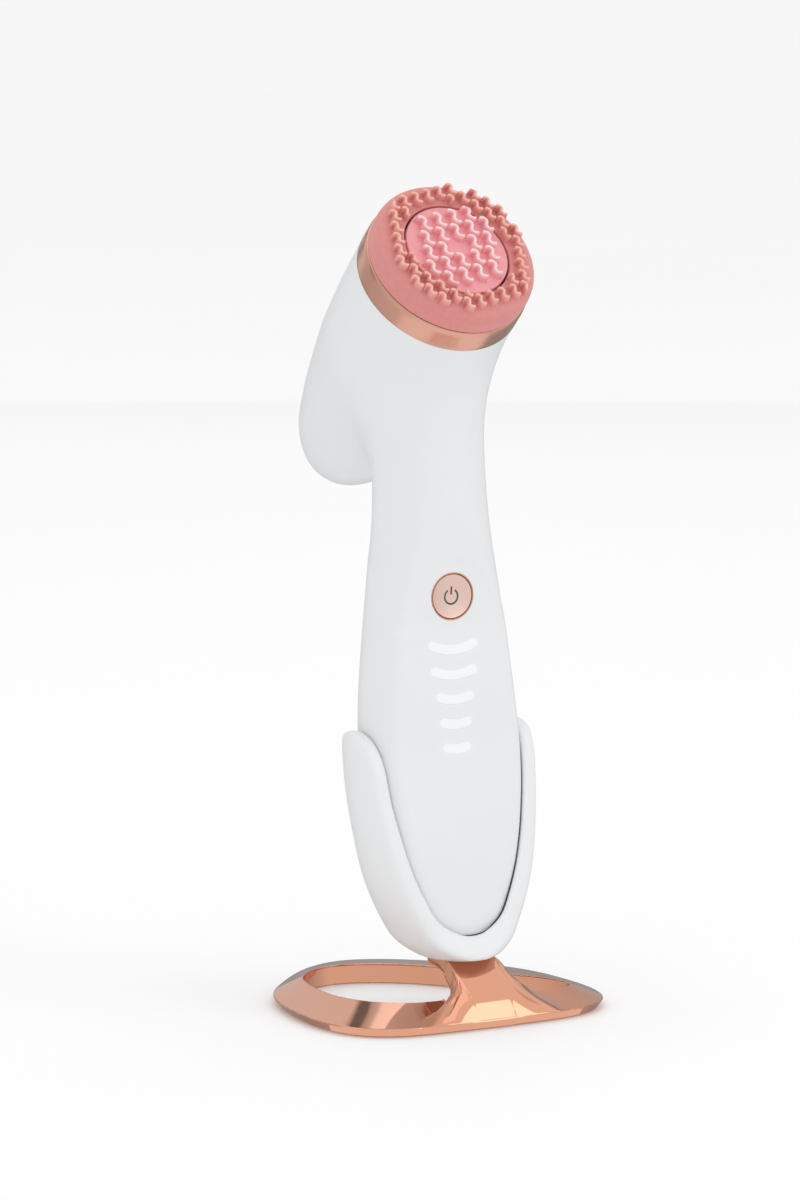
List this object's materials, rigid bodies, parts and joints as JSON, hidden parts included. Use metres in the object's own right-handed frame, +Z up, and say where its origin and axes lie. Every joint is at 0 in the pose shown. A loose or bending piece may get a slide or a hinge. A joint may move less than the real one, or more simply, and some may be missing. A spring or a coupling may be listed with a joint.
{
  "type": "facial cleansing brush",
  "caption": "Cordless facial cleansing brush with a round silicone brush head, power button and light bars, standing in an open cradle on a metal ring base.",
  "frame": {"origin": "centre of the bounding box in plan, on the surface that the feet stand on", "axes": "+Z up, -Y the front with the button and the brush, +X to the left of a person facing the front, X = 0 the plane of symmetry"},
  "size_m": [0.0786, 0.0866, 0.2033],
  "materials": {
    "white_plastic": "satin white moulded ABS",
    "rose_gold_polished": "polished rose-gold plating",
    "rose_gold_satin": "satin rose-gold plating",
    "rose_gold_button": "brushed pale rose-gold plating",
    "mark_grey": "dark grey inlay",
    "silicone_salmon": "matt moulded silicone, salmon pink",
    "silicone_pink": "translucent moulded silicone, light pink",
    "light_diffuser": "frosted white diffuser",
    "led_white": "clear",
    "grey_plastic": "moulded nylon",
    "white_rubber": "matt",
    "seal_rubber": "matt",
    "rubber_feet": "matt",
    "steel_fasteners": "zinc plated",
    "steel": "ground",
    "bronze": "sintered",
    "copper": "enamelled wire",
    "magnet": "nickel plated",
    "ferrite": "sintered",
    "circuit_board": "solder mask",
    "battery_wrap": "shrink sleeve"
  },
  "bodies": {
    "stand": {"base_ring": "rose_gold_polished", "base_feet": "rubber_feet", "base_screws": "steel_fasteners", "cradle": "white_plastic", "dock_cover": "grey_plastic", "dock_board": "circuit_board", "dock_coil": "copper", "usb_inlet": "steel_fasteners"},
    "handset": {"front_housing": "white_plastic", "rear_cover": "white_plastic", "cover_seal": "seal_rubber", "cover_screws": "steel_fasteners", "screw_plugs": "white_rubber", "light_bars": "light_diffuser", "button_bezel": "rose_gold_satin", "stem_seal": "seal_rubber", "main_board": "circuit_board", "tact_switch": "grey_plastic", "status_leds": "led_white", "battery": "battery_wrap", "battery_tray": "grey_plastic", "charge_coil": "copper", "charge_ferrite": "ferrite", "head_ring": "rose_gold_satin", "bulkhead": "grey_plastic", "drive_frame": "grey_plastic", "drive_screws": "steel_fasteners", "shaft_bushes": "bronze", "shaft_seal": "seal_rubber", "coil_yoke": "steel", "coil_bobbin": "grey_plastic", "drive_coil": "copper"},
    "plunger": {"drive_shaft": "steel", "drive_magnet": "magnet", "pole_washers": "steel"},
    "button": {"power_button": "rose_gold_button", "button_mark": "mark_grey"},
    "brush_outer": {"brush_ring": "silicone_salmon", "brush_carrier": "grey_plastic"},
    "brush_inner": {"brush_core": "silicone_pink", "core_carrier": "grey_plastic"}
  },
  "joints": [
    {"name": "handset_lift", "type": "slide", "parent": "stand", "child": "handset", "axis": [0, 0.1219, 0.9925], "range_m": [0, 0.065]},
    {"name": "button_press", "type": "slide", "parent": "handset", "child": "button", "axis": [0, 0.9994, 0.0349], "range_m": [0, 0.0006], "stiffness_N_per_m": 900, "springref_m": -0.0012},
    {"name": "brush_stroke", "type": "slide", "parent": "handset", "child": "plunger", "axis": [0, -0.7431, 0.6691], "range_m": [-0.001, 0.001], "stiffness_N_per_m": 900},
    {"name": "brush_ring_pull", "type": "slide", "parent": "handset", "child": "brush_outer", "axis": [0, -0.7431, 0.6691], "range_m": [0, 0.014]},
    {"name": "brush_core_pull", "type": "slide", "parent": "plunger", "child": "brush_inner", "axis": [0, -0.7431, 0.6691], "range_m": [0, 0.014]}
  ],
  "couplings": [
    {"joint": "brush_core_pull", "follows": "brush_ring_pull", "ratio": 1}
  ]
}
